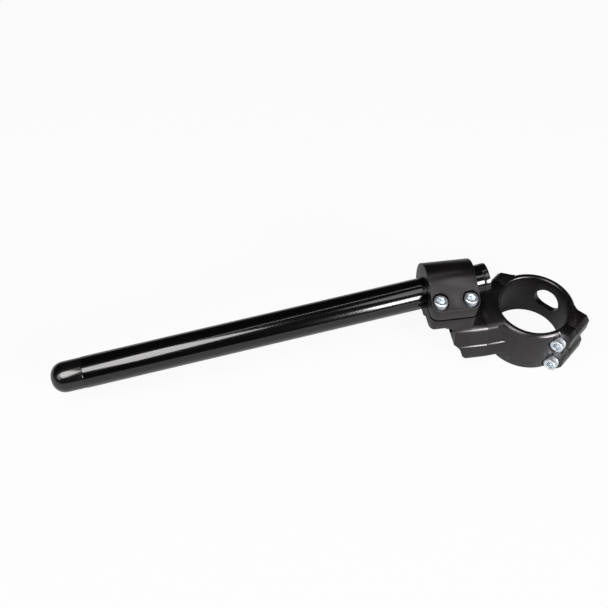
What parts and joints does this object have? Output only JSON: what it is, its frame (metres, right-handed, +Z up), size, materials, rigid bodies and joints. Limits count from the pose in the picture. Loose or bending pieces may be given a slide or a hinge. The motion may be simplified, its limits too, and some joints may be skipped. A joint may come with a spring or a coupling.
{
  "type": "clip_on_handlebar",
  "caption": "Clip-on handlebar for one fork leg: split fork clamp with an arm, bolted riser with a pinch clamp, and a straight bar with end cap",
  "frame": {"origin": "On the axis of the fork tube, in the plane of the fork clamp's lower face", "axes": "+Z runs up the fork tube's axis, the bar points towards -X, and the rider's side of the clamp faces -Y"},
  "size_m": [0.3824, 0.0757, 0.0724],
  "materials": {
    "black_anodised": "satin black anodised, milled",
    "gloss_black_tube": "gloss black anodised, drawn tube",
    "satin_black_cap": "satin black, moulded",
    "zinc_screw": "bright zinc plate"
  },
  "bodies": {
    "root": {"fork_clamp_body": "black_anodised", "fork_clamp_cap": "black_anodised", "riser_clamp": "black_anodised", "handlebar_tube": "gloss_black_tube", "bar_end_cap": "satin_black_cap", "inboard_plug": "satin_black_cap", "front_screw_upper": "zinc_screw", "front_screw_lower": "zinc_screw", "rear_screw": "zinc_screw", "pinch_screw_outboard": "zinc_screw", "pinch_screw_inboard": "zinc_screw", "riser_screw_front": "zinc_screw", "riser_screw_rear": "zinc_screw"}
  },
  "joints": []
}
